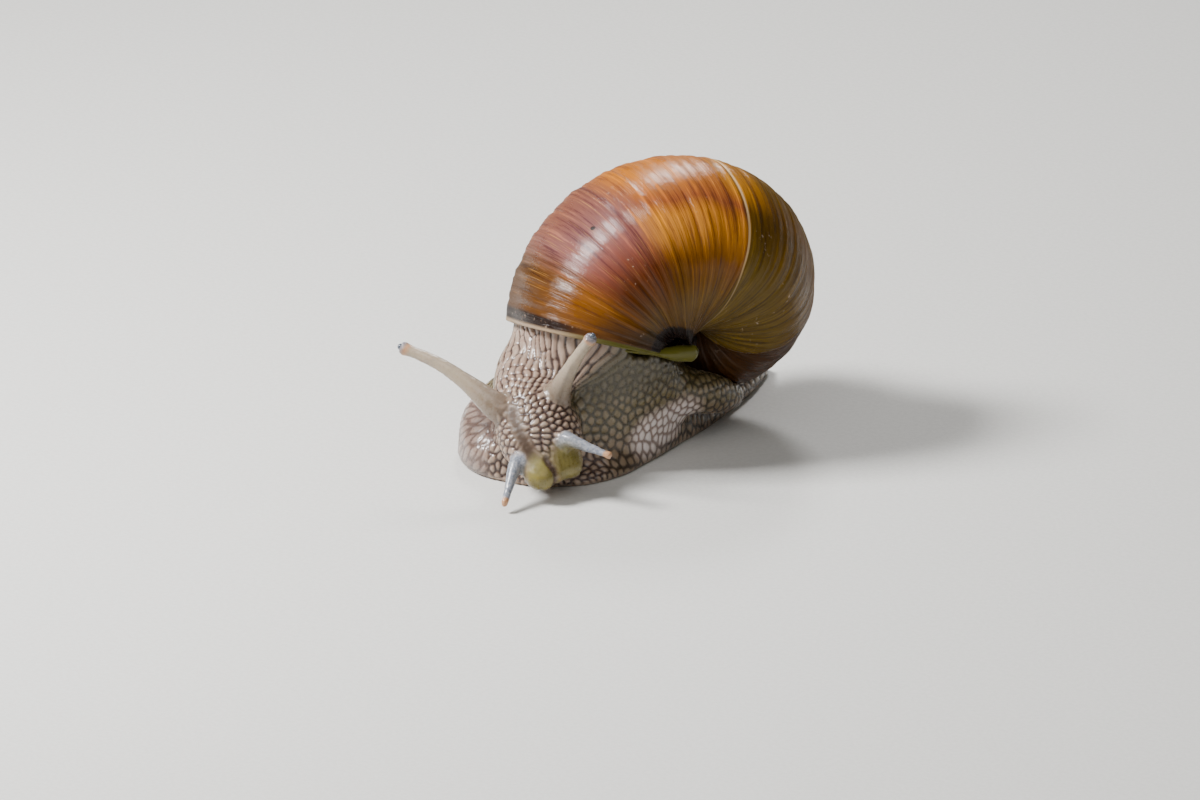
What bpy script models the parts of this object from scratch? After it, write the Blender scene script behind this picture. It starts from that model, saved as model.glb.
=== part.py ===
"""Roman snail, crawling with its head turned to its left: shell, flesh and eyes at life size.

World frame: +Z up, the sole lies on Z = 0, the head points along -Y, and the origin is
the middle of the underside of the whole animal's box.  Lengths are in metres.
"""
import math

import bmesh
import bpy
from mathutils import Matrix, Vector

MM = 0.001
GAP = 0.3 * MM                      # space left between neighbouring pieces
UP = Vector((0, 0, 1))
REAR = Vector((0, 1, 0))

# Shell: a tube swept round the coiling axis, growing by a constant ratio in each turn
LIP_RADIUS = 22.5 * MM              # from the coiling axis to the outer lip
WHORL_RATIO = 2.0
APEX = Vector((-11.4, 19.9, 20.6)) * MM
SHELL_TURN = math.radians(40.3)     # heading of the umbilicus, turned to the left
SHELL_DIP = math.radians(6.7)       # how far the umbilicus looks down
SHELL_SPIN = math.radians(-49.8)    # where round the axis the aperture opens
# Growth angles, in degrees: 0 is near the aperture and older shell is negative
NEWEST, NEWEST_BACK, NEWEST_STEP = 99, -144, 9
OLDER_START, OLDEST, OLDER_STEP = -96, -1410, 12
OLDER_LENGTH = 240                  # in each length of older tube
OLDER_OVERLAP = 24                  # by which each length enters the one before
OLDER_STEP_IN = 0.02 * MM           # by which neighbouring lengths differ in radius
# Whorl section, as shares of the lip radius, measured from the apex
SECTION_MIDDLE = 0.515
SECTION_HALF_WIDTH = 0.485
SECTION_DEPTH = 0.98
SECTION_ROOF = 0.47
SECTION_BASE = 0.71
SECTION_POWER = 2.2
OLDER_BASE = 0.62                   # the base's depth before the last half turn
SECTION_SIDES = 24
# Base swelling: a tube inside the newest whorl that fills its base out by the umbilicus
SWELL_START, SWELL_BACK = 27, -153  # growth angles, in degrees
SWELL_MIDDLE = 0.33                 # its middle across and along the axis and its radius,
SWELL_DEPTH = 1.25                  # as shares of the lip radius
SWELL_RADIUS = 0.47
SWELL_THIN_END = 0.55               # the share of its radius that it starts with
SWELL_RISE = 120                    # degrees in which a whole radius would be gained
# Aperture: a flat mouth that leans over the tube
MOUTH_NORMAL = Vector((0.5378, -0.7431, 0.3982)).normalized()
MOUTH_DISTANCE = 15.54 * MM
LIP_THICKNESS = 0.8 * MM
OLDER_CLEARANCE = 0.45 * MM         # round the older whorls, whose scale is smaller
# Columella: the pillar that the whorls wind round
COLUMELLA_SLOPE = 0.06              # its radius for each unit along the axis
COLUMELLA_START = 0.10 * LIP_RADIUS
COLUMELLA_END = 1.08 * LIP_RADIUS
FIRST_WHORL_BULGE = 1.1             # radius of the round first whorl, in tube half widths

# Sole: a flat plate, round in front and pointed behind, with a soft edge
SOLE_FRONT = -28.6 * MM
SOLE_WIDEST = -16.5 * MM
SOLE_TIP = 31.0 * MM
SOLE_HALF_WIDTH = 12.8 * MM
SOLE_MIDDLE = -5.8 * MM             # sideways place of its middle, in front
SOLE_TIP_MIDDLE = -3.6 * MM         # and at the tip of the tail
FRINGE_HEIGHT = 1.9 * MM
SOLE_SPARE = 1.2 * MM               # extra depth, trimmed off flat at the end
SOLE_RINGS = 26

# Stalk: the flesh between the mouth of the shell and the foot
STALK_START = 3                     # degrees back along the tube to its inner end
STALK_FOOT = Vector((-5.3, -7.6, 0.8)) * MM
STALK_FOOT_SIZE = (11.6 * MM, 16.5 * MM)     # half width and half length
STALK_MIDDLE = Vector((-4.6, -9.8, 16.6)) * MM
STALK_RINGS = 8

# Soft limbs: stations of (x, y, z, half width, half height) in millimetres
TAIL_BACK = [(-6.2, -12, 0, 11.5, 9.0), (-5.2, -3, 0, 11.2, 9.5), (-4.4, 5, 0, 9.6, 8.5),
             (-3.9, 13, 0, 7.4, 5.6), (-3.6, 21, 0, 4.8, 4.0), (-3.6, 29, 0, 1.6, 1.8)]
THROAT = [(-9.0, -12.5, 4.6, 9.7, 7.2), (-8.8, -17.5, 3.8, 9.5, 6.2),
          (-6.5, -22.5, 2.6, 7.6, 4.4), (-3.0, -25.5, 2.4, 4.6, 2.6)]
NECK = [(-8.2, -13.5, 12.0, 6.2, 6.2), (-7.0, -17.5, 11.3, 5.8, 5.8),
        (-4.2, -21.8, 9.8, 5.5, 5.4), (-1.0, -25.0, 8.0, 5.7, 5.3),
        (1.5, -27.2, 6.3, 5.6, 4.5), (3.0, -28.9, 4.7, 4.6, 3.2)]
LIP_LEFT = [(4.0, -26.0, 5.0, 2.6, 2.2), (6.0, -26.6, 3.8, 2.3, 1.9),
            (6.9, -26.9, 2.9, 1.3, 1.2)]
LIP_RIGHT = [(3.0, -29.2, 4.6, 2.7, 2.2), (4.4, -31.2, 3.2, 2.6, 2.0),
             (5.0, -32.2, 2.5, 1.5, 1.3)]
# Flank: the flesh that rises over the underside of the shell on the right of the trunk
FLANK = [(4.6, -6.0, 9.0, 2.6, 3.2), (6.4, -1.0, 7.9, 2.4, 3.2), (7.4, 2.9, 6.5, 2.2, 3.0),
         (7.2, 7.0, 5.2, 1.8, 2.4), (5.8, 10.6, 3.8, 1.3, 1.6)]
# Columellar fold: the lip's inner end, which curls back over the umbilicus
FOLD = [(3.3, -17.6, 18.5, 0.5, 0.4), (6.1, -14.7, 17.9, 0.5, 0.7),
        (8.2, -10.8, 17.1, 0.6, 0.95), (9.6, -7.4, 16.2, 0.7, 1.15), (9.9, -4.8, 15.6, 0.7, 0.8)]
UPPER_TENTACLES = {
    "right": [(-2.2, -26.0, 8.4, 2.3, 2.3), (-4.8, -28.5, 10.6, 1.95, 1.95),
              (-9.6, -29.4, 13.5, 1.15, 1.15), (-14.0, -30.4, 15.7, 0.85, 0.85),
              (-18.8, -31.5, 17.0, 0.72, 0.72)],
    "left": [(-1.0, -22.9, 8.8, 2.2, 2.2), (1.0, -23.5, 12.0, 1.8, 1.8),
             (3.0, -24.0, 15.5, 1.15, 1.15), (5.1, -24.1, 18.9, 0.80, 0.80),
             (7.3, -24.0, 22.0, 0.70, 0.70)],
}
LOWER_TENTACLES = {
    "right": [(0.4, -29.5, 6.2, 1.3, 1.3), (1.2, -32.6, 5.0, 0.95, 0.95),
              (2.2, -35.2, 3.0, 0.6, 0.6), (3.0, -37.2, 1.4, 0.45, 0.45)],
    "left": [(3.4, -26.6, 7.4, 1.4, 1.4), (6.0, -27.6, 8.4, 1.05, 1.05),
             (9.2, -27.3, 8.0, 0.65, 0.65), (12.6, -26.8, 7.4, 0.45, 0.45)],
}
UPPER_KNOB = 0.95 * MM
LOWER_KNOB = 0.55 * MM
EYE_RADIUS = 0.42 * MM
EYE_DEPTH = 0.58 * MM               # from the knob's centre out to the eye's centre
EYE_SOCKET = 0.66 * MM

# Where the flesh is parted
FOOT_TOP = 2.8 * MM
FOOT_SPREAD = 1.5 * MM              # by which the parting plate is wider than the sole
TAIL_PARTING = Vector((0, 12.0, 0)) * MM
FOOT_PARTING = Vector((0, -12.0, 0)) * MM
TRUNK_PARTING = Vector((-7.0, -15.6, 10.0)) * MM
TRUNK_FACING = Vector((0.30, -0.95, -0.05)).normalized()
HEAD_PARTING = Vector((-2.2, -23.0, 8.5)) * MM
HEAD_FACING = Vector((0.35, -0.86, -0.37)).normalized()
LIP_GUARD_RADIUS = 16.5 * MM        # disc that keeps flesh off the outside of the lip
LIP_GUARD_HEIGHT = 7.0 * MM

# Melting: voxel size, smoothing passes and triangles of each melted piece
FLESH_MELT = (0.6 * MM, 14, 3600)
SHELL_MELT = (0.34 * MM, 2, 3400)
SLIVER = 0.004 * MM


# ---------------------------------------------------------------- tools

def clear_scene():
    for thing in list(bpy.data.objects):
        bpy.data.objects.remove(thing)


def collection(name):
    group = bpy.data.collections.new(name)
    bpy.context.scene.collection.children.link(group)
    return group


def paint(name, colour, roughness, metallic=0.0):
    finish = bpy.data.materials.new(name)
    finish.use_nodes = True
    surface = finish.node_tree.nodes["Principled BSDF"]
    surface.inputs["Base Color"].default_value = (*colour, 1.0)
    surface.inputs["Roughness"].default_value = roughness
    surface.inputs["Metallic"].default_value = metallic
    return finish


def make(name, bm, group, finish=None):
    """Turn a bmesh into an object, with its faces pointing out."""
    bmesh.ops.recalc_face_normals(bm, faces=bm.faces)
    mesh = bpy.data.meshes.new(name)
    bm.to_mesh(mesh)
    bm.free()
    piece = bpy.data.objects.new(name, mesh)
    if finish:
        mesh.materials.append(finish)
    group.objects.link(piece)
    return piece


def duplicate(piece, name, group):
    twin = bpy.data.objects.new(name, piece.data.copy())
    group.objects.link(twin)
    return twin


def bake(piece):
    """Apply all the modifiers of a piece to its mesh."""
    depsgraph = bpy.context.evaluated_depsgraph_get()
    baked = bpy.data.meshes.new_from_object(piece.evaluated_get(depsgraph))
    piece.modifiers.clear()
    piece.data = baked


def combine(piece, other, operation):
    """Boolean UNION, DIFFERENCE or INTERSECT of a piece with another, which is used up.

    The whorls nest so closely that the exact solver loses some of them.
    """
    step = piece.modifiers.new(operation.lower(), "BOOLEAN")
    step.operation = operation
    step.object = other
    step.solver = "MANIFOLD"
    bake(piece)
    bpy.data.objects.remove(other)


def melt(piece, voxel, passes, triangles):
    """Melt a piece into one even skin, soften it, and reduce it to a number of triangles."""
    remesh = piece.modifiers.new("melt", "REMESH")
    remesh.mode = "VOXEL"
    remesh.voxel_size = voxel
    soften = piece.modifiers.new("soften", "SMOOTH")
    soften.factor = 0.5
    soften.iterations = passes
    bake(piece)
    count = sum(len(face.vertices) - 2 for face in piece.data.polygons)
    fewer = piece.modifiers.new("fewer", "DECIMATE")
    fewer.ratio = triangles / count
    bake(piece)


def swollen(piece, distance, name, group):
    """A copy of a piece, grown outwards all over by a small distance."""
    twin = duplicate(piece, name, group)
    normals = [vertex.normal.copy() for vertex in twin.data.vertices]
    for vertex, normal in zip(twin.data.vertices, normals):
        vertex.co += normal * distance
    return twin


def keep_side(piece, point, normal):
    """Cut a closed piece along a plane, keep what lies along the normal, and close it."""
    bm = bmesh.new()
    bm.from_mesh(piece.data)
    bmesh.ops.bisect_plane(bm, geom=list(bm.verts) + list(bm.edges) + list(bm.faces),
                           plane_co=point, plane_no=normal, clear_inner=True)
    bmesh.ops.holes_fill(bm, edges=[edge for edge in bm.edges if edge.is_boundary])
    bm.to_mesh(piece.data)
    bm.free()


def split(piece, point, normal, names, group):
    """Part a piece along a plane into two, a gap apart: (behind the normal, along it)."""
    halves = []
    for name, side in zip(names, (-1, 1)):
        half = duplicate(piece, name, group)
        keep_side(half, point + normal * (side * GAP / 2), normal * side)
        halves.append(half)
    bpy.data.objects.remove(piece)
    return halves


def tidy(piece):
    """Merge what a cut left almost touching, and make every face a triangle."""
    bm = bmesh.new()
    bm.from_mesh(piece.data)
    bmesh.ops.remove_doubles(bm, verts=bm.verts, dist=SLIVER)
    bmesh.ops.dissolve_degenerate(bm, dist=SLIVER, edges=bm.edges)
    bmesh.ops.triangulate(bm, faces=bm.faces)
    bm.to_mesh(piece.data)
    bm.free()


def signed_power(value, power):
    return math.copysign(abs(value) ** power, value)


def oval(sides, power=2.0):
    """A bmesh with one open ring: a superellipse of half width 1 and half height 1."""
    bm = bmesh.new()
    bmesh.ops.create_circle(bm, cap_ends=False, segments=sides, radius=1.0)
    for vertex in bm.verts:
        vertex.co.x = signed_power(vertex.co.x, 2.0 / power)
        vertex.co.y = signed_power(vertex.co.y, 2.0 / power)
    return bm


def new_verts(made):
    return [part for part in made["geom"] if isinstance(part, bmesh.types.BMVert)]


def carry(bm, edges, frames):
    """Extrude a ring of edges, which lies in the first frame, through all the others."""
    for before, after in zip(frames, frames[1:]):
        made = bmesh.ops.extrude_edge_only(bm, edges=edges)
        edges = [part for part in made["geom"] if isinstance(part, bmesh.types.BMEdge)]
        bmesh.ops.transform(bm, matrix=after @ before.inverted(), verts=new_verts(made))
    return edges


def sweep(bm, frames):
    """Carry a bmesh's only ring through a list of frames, and close both ends."""
    start = list(bm.edges)
    bmesh.ops.transform(bm, matrix=frames[0], verts=bm.verts)
    end = carry(bm, start, frames)
    bmesh.ops.edgeloop_fill(bm, edges=start)
    bmesh.ops.edgeloop_fill(bm, edges=end)
    return bm


def facing(centre, direction, width, height, lean=UP):
    """Frame of an oval ring: it faces along direction, and its height leans to lean."""
    forward = direction.normalized()
    side = lean.cross(forward).normalized()
    over = forward.cross(side)
    turn = Matrix((side, over, forward)).transposed().to_4x4()
    return Matrix.Translation(centre) @ turn @ Matrix.Diagonal((width, height, 1.0, 1.0))


def smooth_curve(points, steps):
    """Catmull-Rom curve through the given points, which may have any number of values."""
    knots = [Vector(point) for point in points]
    knots = [knots[0] * 2 - knots[1]] + knots + [knots[-1] * 2 - knots[-2]]
    curve = []
    for a, b, c, d in zip(knots, knots[1:], knots[2:], knots[3:]):
        for step in range(steps):
            t = step / steps
            bend = (a * 2 - b * 5 + c * 4 - d) * t ** 2 + (b * 3 - a - c * 3 + d) * t ** 3
            curve.append((b * 2 + (c - a) * t + bend) * 0.5)
    return curve + [knots[-2]]


def limb(stations, steps, sides=20):
    """A closed soft limb along a bent path: stations are (x, y, z, width, height) in mm."""
    curve = smooth_curve(stations, steps)
    centres = [Vector(point[:3]) * MM for point in curve]
    frames = []
    for i, point in enumerate(curve):
        ahead = centres[min(i + 1, len(centres) - 1)] - centres[max(i - 1, 0)]
        frames.append(facing(centres[i], ahead, point[3] * MM, point[4] * MM))
    return sweep(oval(sides), frames)


# ---------------------------------------------------------------- shell

def shell_to_world():
    """The shell is built with its apex at the origin and its base towards +Z."""
    return (Matrix.Translation(APEX) @ Matrix.Rotation(SHELL_TURN, 4, "Z")
            @ Matrix.Rotation(math.pi / 2 + SHELL_DIP, 4, "X")
            @ Matrix.Rotation(SHELL_SPIN, 4, "Z"))


def growth(degrees):
    """Turn and enlarge about the apex: what the shell does as it grows by an angle."""
    scale = WHORL_RATIO ** (degrees / 360)
    return Matrix.Rotation(math.radians(degrees), 4, "Z") @ Matrix.Scale(scale, 4)


def whorl_ring(extra, base):
    """The tube's section at growth 0, in the plane through the axis and -X."""
    bm = oval(SECTION_SIDES, SECTION_POWER)
    for vertex in bm.verts:
        u, v = vertex.co.x, vertex.co.y
        depth = base if v > 0 else SECTION_ROOF
        across = (SECTION_MIDDLE + SECTION_HALF_WIDTH * u) * LIP_RADIUS + u * extra
        along = (SECTION_DEPTH + depth * v) * LIP_RADIUS + v * extra
        vertex.co = (-across, 0.0, along)
    return bm


def newest_whorl(extra=0.0, mouth_shift=0.0):
    """The newest part of the tube, closed, and cut off flat: its bmesh and its mouth face."""
    bm = whorl_ring(extra, SECTION_BASE)
    frames = [growth(angle) for angle in range(NEWEST, NEWEST_BACK - 1, -NEWEST_STEP)]
    start = list(bm.edges)
    bmesh.ops.transform(bm, matrix=frames[0], verts=bm.verts)
    back = carry(bm, start, frames)
    bmesh.ops.edgeloop_fill(bm, edges=back)
    bmesh.ops.bisect_plane(bm, geom=list(bm.verts) + list(bm.edges) + list(bm.faces),
                           plane_co=MOUTH_NORMAL * (MOUTH_DISTANCE + mouth_shift),
                           plane_no=MOUTH_NORMAL, clear_outer=True)
    rim = [edge for edge in bm.edges if edge.is_boundary]
    return bm, bmesh.ops.edgeloop_fill(bm, edges=rim)["faces"][0]


def base_swelling(extra):
    """The fullness of the newest whorl's base, which closes in on the umbilicus."""
    middle = Matrix.Translation((-SWELL_MIDDLE * LIP_RADIUS, 0, SWELL_DEPTH * LIP_RADIUS))
    upright = Matrix.Rotation(math.pi / 2, 4, "X")
    frames = []
    for angle in range(SWELL_START, SWELL_BACK - 1, -NEWEST_STEP):
        rise = min(1.0, SWELL_THIN_END + (SWELL_START - angle) / SWELL_RISE)
        radius = SWELL_RADIUS * LIP_RADIUS * rise + extra
        frames.append(growth(angle) @ middle @ upright @ Matrix.Scale(radius, 4))
    return sweep(oval(SECTION_SIDES), frames)


def older_whorls(extra):
    """Closed lengths of the older tube, each under a turn, overlapping end to end."""
    lengths = []
    start, last = OLDER_START, 0
    while last > OLDEST:
        last = max(start - OLDER_LENGTH, OLDEST)
        frames = [growth(angle) for angle in range(start, last - 1, -OLDER_STEP)]
        thinner = OLDER_STEP_IN * (1 + len(lengths) % 2)
        lengths.append(sweep(whorl_ring(extra - thinner, OLDER_BASE), frames))
        start = last + OLDER_OVERLAP
    return lengths


def columella(extra=0.0):
    """The solid pillar that the whorls wind round, a slim cone from the apex."""
    bm = bmesh.new()
    middle = (COLUMELLA_START + COLUMELLA_END) / 2
    bmesh.ops.create_cone(bm, cap_ends=True, segments=16,
                          radius1=COLUMELLA_SLOPE * COLUMELLA_START + extra,
                          radius2=COLUMELLA_SLOPE * COLUMELLA_END + extra,
                          depth=COLUMELLA_END - COLUMELLA_START,
                          matrix=Matrix.Translation((0, 0, middle)))
    return bm


def first_whorl():
    """The rounded end of the tube, at the tip of the shell."""
    bm = bmesh.new()
    radius = FIRST_WHORL_BULGE * SECTION_HALF_WIDTH * LIP_RADIUS
    bmesh.ops.create_icosphere(bm, subdivisions=2, radius=radius)
    centre = Matrix.Translation((-SECTION_MIDDLE * LIP_RADIUS, 0, SECTION_DEPTH * LIP_RADIUS))
    bmesh.ops.transform(bm, matrix=growth(OLDEST) @ centre, verts=bm.verts)
    return bm


def coiled_shell(name, bm, extra, group, finish):
    """Join the newest whorl to all the older ones, and set the shell in its place."""
    shell = make(name, bm, group, finish)
    for part in [base_swelling(extra), columella(), first_whorl()] + older_whorls(extra):
        combine(shell, make("part", part, group), "UNION")
    shell.data.transform(shell_to_world())
    fold = [(x, y, z, wide + extra / MM, high + extra / MM) for x, y, z, wide, high in FOLD]
    combine(shell, make("fold", limb(fold, 3, sides=10), group), "UNION")
    return shell


def shell(group, finish):
    bm, _ = newest_whorl()
    melt(coiled_shell("shell", bm, 0.0, group, finish), *SHELL_MELT)


def mouth_disc():
    """A flat face that fills the mouth of the shell, a gap inside the lip."""
    bm, mouth = newest_whorl()
    bmesh.ops.inset_region(bm, faces=[mouth], thickness=LIP_THICKNESS + GAP,
                           use_even_offset=True)
    bmesh.ops.delete(bm, geom=[face for face in bm.faces if face is not mouth],
                     context="FACES")
    return bm


# ---------------------------------------------------------------- flesh

def sole_outline(t):
    """Middle and half width of the sole at a share t of its length, from front to tip."""
    along = SOLE_FRONT + (SOLE_TIP - SOLE_FRONT) * t
    middle = SOLE_MIDDLE + (SOLE_TIP_MIDDLE - SOLE_MIDDLE) * t
    if along < SOLE_WIDEST:
        reach = (SOLE_WIDEST - along) / (SOLE_WIDEST - SOLE_FRONT)
        half = SOLE_HALF_WIDTH * math.sqrt(max(0.0, 1 - reach ** 2.2))
    else:
        reach = (along - SOLE_WIDEST) / (SOLE_TIP - SOLE_WIDEST)
        half = SOLE_HALF_WIDTH * (1 - reach ** 1.45) ** 0.9
    return middle, along, half


def sole_plate(top=FRINGE_HEIGHT, spread=0.0, power=4.0):
    """The sole as a flat plate, swept from front to tip with rounded edges."""
    shares = [0.5 - 0.5 * math.cos(math.pi * i / SOLE_RINGS) for i in range(SOLE_RINGS + 1)]
    frames = []
    for share in shares:
        x, y, half = sole_outline(share)
        thick = (top + SOLE_SPARE) / 2
        if not spread:
            thick *= 0.35 + 0.65 * min(1.0, half / (0.3 * SOLE_HALF_WIDTH))
        centre = Vector((x, y + spread * (2 * share - 1), thick - SOLE_SPARE))
        frames.append(facing(centre, REAR, max(half, GAP) + spread, thick))
    return sweep(oval(24, power), frames)


def ring_edges(bm, ring):
    return [bm.edges.get(pair) for pair in zip(ring, ring[1:] + ring[:1])]


def next_ring(bm, ring):
    """Extrude a closed ring of vertices in place, and return its twin in the same order."""
    made = bmesh.ops.extrude_edge_only(bm, edges=ring_edges(bm, ring))
    twins = {vertex.co.to_tuple(9): vertex for vertex in new_verts(made)}
    return [twins[vertex.co.to_tuple(9)] for vertex in ring]


def stalk():
    """The column of flesh that fills the mouth of the shell and spreads down to the foot."""
    bm = mouth_disc()
    ring = [loop.vert for loop in next(iter(bm.faces)).loops]
    mouth = [shell_to_world() @ vertex.co for vertex in ring]
    bmesh.ops.transform(bm, matrix=shell_to_world() @ growth(-STALK_START), verts=ring)
    for step in range(STALK_RINGS + 1):
        ring = next_ring(bm, ring)
        for vertex, start in zip(ring, mouth):
            angle = math.atan2(start.y - STALK_MIDDLE.y, start.x - STALK_MIDDLE.x)
            spread = Vector((STALK_FOOT_SIZE[0] * math.cos(angle),
                             STALK_FOOT_SIZE[1] * math.sin(angle), 0.0))
            vertex.co = start.lerp(STALK_FOOT + spread, step / STALK_RINGS)
    bmesh.ops.edgeloop_fill(bm, edges=ring_edges(bm, ring))
    return bm


def whole_flesh(group, finish):
    """All the soft body in one piece, melted together and trimmed flat underneath."""
    flesh = make("flesh", sole_plate(), group, finish)
    for part in (limb(TAIL_BACK, 4), stalk(), limb(FLANK, 4), limb(THROAT, 4),
                 limb(NECK, 5), limb(LIP_LEFT, 3), limb(LIP_RIGHT, 3)):
        combine(flesh, make("part", part, group), "UNION")
    melt(flesh, *FLESH_MELT)
    keep_side(flesh, Vector((0, 0, 0)), UP)
    return flesh


def shell_clearance(group):
    """The shell with a gap all round it, and a disc of all that is just above its lip."""
    bm, _ = newest_whorl(OLDER_CLEARANCE, GAP)
    clearance = coiled_shell("clearance", bm, OLDER_CLEARANCE, group, None)
    outward = (shell_to_world().to_3x3() @ MOUTH_NORMAL).normalized()
    on_plane = shell_to_world() @ (MOUTH_NORMAL * (MOUTH_DISTANCE + GAP))
    rise = (on_plane - STALK_MIDDLE).dot(outward) - LIP_GUARD_HEIGHT / 2
    guard = bmesh.new()
    bmesh.ops.create_cone(guard, cap_ends=True, segments=32, radius1=LIP_GUARD_RADIUS,
                          radius2=LIP_GUARD_RADIUS, depth=LIP_GUARD_HEIGHT)
    bmesh.ops.transform(guard, verts=guard.verts,
                        matrix=facing(STALK_MIDDLE + outward * rise, outward, 1.0, 1.0))
    combine(clearance, make("guard", guard, group), "UNION")
    return clearance


def part_flesh(flesh, group):
    """Divide the body into its named lengths."""
    foot, _ = split(flesh, TAIL_PARTING, REAR, ("whole_front", "tail"), group)
    upper = duplicate(foot, "upper_flesh", group)
    plate = make("plate", sole_plate(FOOT_TOP, FOOT_SPREAD, 8.0), group)
    combine(foot, plate, "INTERSECT")
    plate = make("plate", sole_plate(FOOT_TOP + GAP, FOOT_SPREAD + GAP, 8.0), group)
    combine(upper, plate, "DIFFERENCE")
    split(foot, FOOT_PARTING, REAR, ("foot_front", "foot_middle"), group)
    _, front = split(upper, TRUNK_PARTING, TRUNK_FACING, ("trunk", "head_and_neck"), group)
    split(front, HEAD_PARTING, HEAD_FACING, ("neck", "head"), group)


# ---------------------------------------------------------------- tentacles and eyes

def ball(centre, radius, rings=6):
    bm = bmesh.new()
    bmesh.ops.create_uvsphere(bm, u_segments=10, v_segments=rings, radius=radius)
    bmesh.ops.translate(bm, vec=centre, verts=bm.verts)
    return bm


def tentacle(name, stations, knob, flesh, group, finish):
    """A tapering feeler with a knob at its tip, cut to sit a gap clear of the head."""
    feeler = make(name, limb(stations, 3, sides=10), group, finish)
    combine(feeler, make("knob", ball(Vector(stations[-1][:3]) * MM, knob), group), "UNION")
    combine(feeler, swollen(flesh, GAP, "head_room", group), "DIFFERENCE")
    return feeler


def eye(name, feeler, stations, group, finish):
    """A small dark ball in a socket at the very tip of an upper tentacle."""
    tip, behind = (Vector(station[:3]) * MM for station in (stations[-1], stations[-2]))
    centre = tip + (tip - behind).normalized() * EYE_DEPTH
    combine(feeler, make("socket", ball(centre, EYE_SOCKET), group), "DIFFERENCE")
    make(name, ball(centre, EYE_RADIUS), group, finish)


def stand_on_origin(group):
    """Move everything so that the middle of the underside of the whole box is the origin."""
    points = [vertex.co for piece in group.objects for vertex in piece.data.vertices]
    low = [min(point[axis] for point in points) for axis in range(3)]
    high = [max(point[axis] for point in points) for axis in range(3)]
    shift = Vector((-(low[0] + high[0]) / 2, -(low[1] + high[1]) / 2, -low[2]))
    for piece in group.objects:
        piece.data.transform(Matrix.Translation(shift))


def main():
    clear_scene()
    model = collection("roman_snail")
    horn = paint("shell_brown", (0.30, 0.13, 0.05), 0.25)
    skin = paint("wet_skin", (0.42, 0.34, 0.28), 0.35)
    black = paint("eye_black", (0.02, 0.02, 0.03), 0.1)
    shell(model, horn)
    flesh = whole_flesh(model, skin)
    for side, stations in UPPER_TENTACLES.items():
        feeler = tentacle("upper_tentacle_" + side, stations, UPPER_KNOB, flesh, model, skin)
        eye("eye_" + side, feeler, stations, model, black)
    for side, stations in LOWER_TENTACLES.items():
        tentacle("lower_tentacle_" + side, stations, LOWER_KNOB, flesh, model, skin)
    combine(flesh, shell_clearance(model), "DIFFERENCE")
    part_flesh(flesh, model)
    for piece in model.objects:
        tidy(piece)
    stand_on_origin(model)


main()
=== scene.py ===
"""Roman snail: the looks of its shell, skin and eyes, on a plain pale floor."""

import math
import random

import bmesh
import bpy
import numpy as np
from mathutils import Matrix, Vector, kdtree
from mathutils.bvhtree import BVHTree


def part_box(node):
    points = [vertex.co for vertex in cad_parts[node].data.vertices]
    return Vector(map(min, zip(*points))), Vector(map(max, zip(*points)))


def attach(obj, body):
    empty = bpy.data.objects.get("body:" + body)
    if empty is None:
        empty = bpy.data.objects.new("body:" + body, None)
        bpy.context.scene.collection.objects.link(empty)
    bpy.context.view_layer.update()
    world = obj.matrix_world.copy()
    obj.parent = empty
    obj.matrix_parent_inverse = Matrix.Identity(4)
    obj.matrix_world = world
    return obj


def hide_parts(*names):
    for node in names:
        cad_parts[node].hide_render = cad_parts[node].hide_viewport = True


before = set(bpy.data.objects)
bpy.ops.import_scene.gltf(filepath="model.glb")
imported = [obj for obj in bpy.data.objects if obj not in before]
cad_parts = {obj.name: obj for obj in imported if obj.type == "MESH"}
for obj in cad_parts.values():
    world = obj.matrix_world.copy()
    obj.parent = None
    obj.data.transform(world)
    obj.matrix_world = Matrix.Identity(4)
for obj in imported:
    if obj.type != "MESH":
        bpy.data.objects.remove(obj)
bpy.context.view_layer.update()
MM = 0.001

# ---------------------------------------------------------------- shell
# The shell is a tube of horny lime that the snail has grown turn by turn round a hollow
# pillar.  Each growth line is an old edge of the mouth, so the tube is laid out in those
# lines: row by row of one age, each row the mouth's outline, turned and shrunk.

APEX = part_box("shell")[0] + Vector((6.39, 41.35, 16.47)) * MM
SHELL_TURN = math.radians(40.3)     # heading of the hole in the base, turned to the left
SHELL_LEAN = math.radians(96.7)     # of the coiling axis, away from the vertical
SHELL_SPIN = math.radians(-49.8)    # where round the axis the mouth opens
SHELL_PLACE = (Matrix.Translation(APEX) @ Matrix.Rotation(SHELL_TURN, 4, "Z")
               @ Matrix.Rotation(SHELL_LEAN, 4, "X") @ Matrix.Rotation(SHELL_SPIN, 4, "Z"))
LIP_RADIUS = 22.5 * MM              # from the coiling axis to the outer lip
WHORL_RATIO = 2.0                   # by which the tube grows in each turn
# The tube's section, as shares of LIP_RADIUS
SECTION_MIDDLE = (0.515, 0.98)      # across and along the axis, from the apex
SECTION_HALF_WIDTH = 0.485
SECTION_ROOF = 0.47                 # from the middle to the shoulder
SECTION_POWER = 2.2                 # of its superellipse
OLDER_BASE = 0.62                   # from the middle to the base, behind the crease,
BASE_GAIN, CREASE_GAIN = 0.09, 0.03     # how much more before it, and more again close by
# The fullness beside the hole in the base, in the same shares and in degrees of growth
SWELL_MIDDLE = (0.33, 1.25)
SWELL_RADIUS = 0.49
SWELL_THIN_END, SWELL_START, SWELL_RISE = 0.55, 27, 120
SWELL_BLEND = 0.03
# The mouth is flat, and where it lies on the older whorl its edge keeps to a growth angle
MOUTH_NORMAL = np.array([0.5378, -0.7431, 0.3982])
MOUTH_DISTANCE = 15.54 * MM
LEAST_RIM, MOST_RIM = 20.0, 106.0
WALL_RIM, WALL_RISE = 56.0, 50.0
# Growth angles where the base takes a step, which comes later towards the hole
CREASE_GIRTHS, CREASE_GROWTHS = (30, 60, 79, 95, 115), (-136, -145, -152, -159, -164)
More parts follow.
